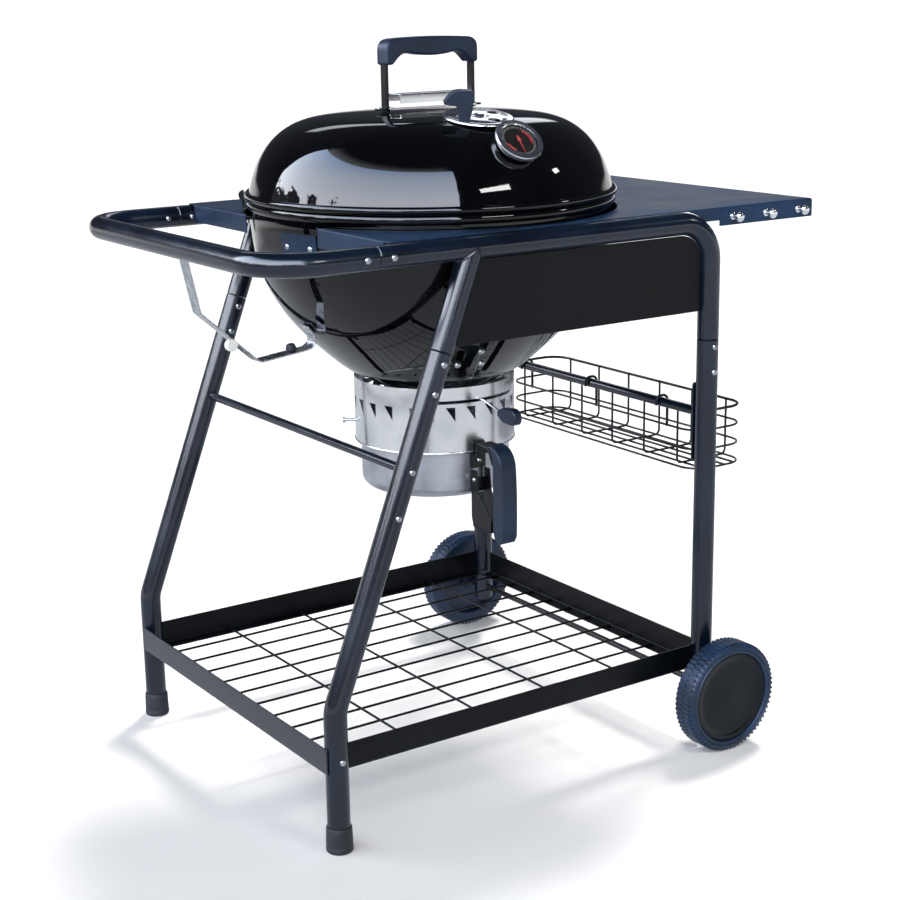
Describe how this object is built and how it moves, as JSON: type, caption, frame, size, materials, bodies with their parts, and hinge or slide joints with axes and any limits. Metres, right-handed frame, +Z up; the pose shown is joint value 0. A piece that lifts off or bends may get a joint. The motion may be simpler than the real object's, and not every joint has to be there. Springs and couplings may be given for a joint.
{
  "type": "kettle charcoal grill",
  "caption": "Kettle charcoal grill on a tubular cart with wheels, a side table, a wire shelf and basket, an ash bucket with a sweeper lever, and a domed lid with vent and thermometer.",
  "frame": {"origin": "on the ground, under the middle of the grill's overall box", "axes": "+Z up, +X from the push handle towards the wheels, -Y out of the front, where the thermometer, vent and sweeper lever are"},
  "size_m": [0.9706, 0.752, 1.1],
  "materials": {
    "enamel": "glossy black porcelain enamel on pressed steel",
    "powder_coat": "satin blue-black powder coat",
    "table_coat": "satin dark blue powder coat",
    "black_steel": "satin black coated steel",
    "stainless": "polished stainless steel",
    "aluminium": "brushed aluminium",
    "plated_steel": "bright plated steel",
    "blue_plastic": "moulded dark blue thermoset plastic",
    "wheel_plastic": "moulded navy polyethylene",
    "hub_plastic": "moulded black plastic",
    "white_nylon": "white nylon",
    "rubber": "black rubber",
    "dial_black": "black printed dial",
    "needle_red": "red painted pointer",
    "glass": "clear flat glass"
  },
  "bodies": {
    "cart": {"bowl": "enamel", "handle_tube": "powder_coat", "front_rail": "powder_coat", "back_rail": "powder_coat", "front_handle_leg": "powder_coat", "back_handle_leg": "powder_coat", "front_wheel_leg": "powder_coat", "back_wheel_leg": "powder_coat", "crossbar": "powder_coat", "front_panel": "powder_coat", "shelf_beam_front": "powder_coat", "shelf_beam_back": "powder_coat", "shelf_beam_left": "powder_coat", "shelf_beam_right": "powder_coat", "shelf_grid": "powder_coat", "basket_bracket_front": "powder_coat", "basket_bracket_back": "powder_coat", "basket_bar": "powder_coat", "front_bracket_left": "powder_coat", "front_bracket_right": "powder_coat", "back_bracket_left": "powder_coat", "back_bracket_right": "powder_coat", "tabletop": "table_coat", "rim_lug": "black_steel", "tool_hook_1": "stainless", "tool_hook_2": "stainless", "tool_hook_3": "stainless", "ash_collar": "stainless", "axle": "plated_steel", "collar_pin": "plated_steel", "cradle_strap": "plated_steel", "cradle_roller": "white_nylon", "front_foot_cap": "rubber", "back_foot_cap": "rubber", "cradle_bumper": "rubber"},
    "lid": {"lid": "enamel", "lid_handle_bracket": "black_steel", "lid_handle_grip": "blue_plastic", "heat_shield": "stainless", "thermometer_body": "stainless", "thermometer_dial": "dial_black", "thermometer_glass": "glass"},
    "vent": {"vent_disc": "stainless", "vent_tab": "blue_plastic"},
    "needle": {"thermometer_needle": "needle_red"},
    "cooking_grate": {"cooking_grate": "plated_steel"},
    "charcoal_grate": {"charcoal_grate": "plated_steel"},
    "sweeper": {"sweeper_blades": "plated_steel", "sweeper_spindle": "plated_steel", "sweeper_lever": "stainless", "sweeper_knob": "blue_plastic"},
    "bucket": {"ash_bucket": "aluminium", "bucket_strap": "black_steel", "bucket_bracket": "black_steel", "bucket_grip": "blue_plastic"},
    "front_wheel": {"front_wheel": "wheel_plastic", "front_hub_cap": "hub_plastic"},
    "back_wheel": {"back_wheel": "wheel_plastic", "back_hub_cap": "hub_plastic"},
    "basket": {"wire_basket": "black_steel"}
  },
  "joints": [
    {"name": "lid_lift", "type": "slide", "parent": "cart", "child": "lid", "axis": [0, 0, 1], "range_m": [0, 0.3]},
    {"name": "vent_turn", "type": "hinge", "parent": "lid", "child": "vent", "pos_m": [-0.04868, -0.16058, 0.98926], "axis": [-0.0252, -0.1891, 0.9816], "range_deg": [-60, 0]},
    {"name": "needle_turn", "type": "hinge", "parent": "lid", "child": "needle", "pos_m": [-0.04025, -0.24806, 0.9612], "axis": [-0.037, -0.7061, 0.7071], "range_deg": [-270, 0]},
    {"name": "cooking_grate_turn", "type": "hinge", "parent": "cart", "child": "cooking_grate", "pos_m": [-0.02725, 0, 0.8198], "axis": [0, 0, 1], "continuous": true},
    {"name": "charcoal_grate_turn", "type": "hinge", "parent": "cart", "child": "charcoal_grate", "pos_m": [-0.02725, 0, 0.666], "axis": [0, 0, 1], "continuous": true},
    {"name": "sweeper_turn", "type": "hinge", "parent": "cart", "child": "sweeper", "pos_m": [-0.02725, 0, 0.56], "axis": [0, 0, 1], "range_deg": [-26, 26]},
    {"name": "bucket_drop", "type": "slide", "parent": "cart", "child": "bucket", "axis": [0, 0, -1], "range_m": [0, 0.12]},
    {"name": "front_wheel_spin", "type": "hinge", "parent": "cart", "child": "front_wheel", "pos_m": [0.27375, -0.356, 0.088], "axis": [0, 1, 0], "continuous": true},
    {"name": "back_wheel_spin", "type": "hinge", "parent": "cart", "child": "back_wheel", "pos_m": [0.27375, 0.356, 0.088], "axis": [0, 1, 0], "continuous": true},
    {"name": "basket_lift", "type": "slide", "parent": "cart", "child": "basket", "axis": [0, 0, 1], "range_m": [0, 0.1]}
  ]
}
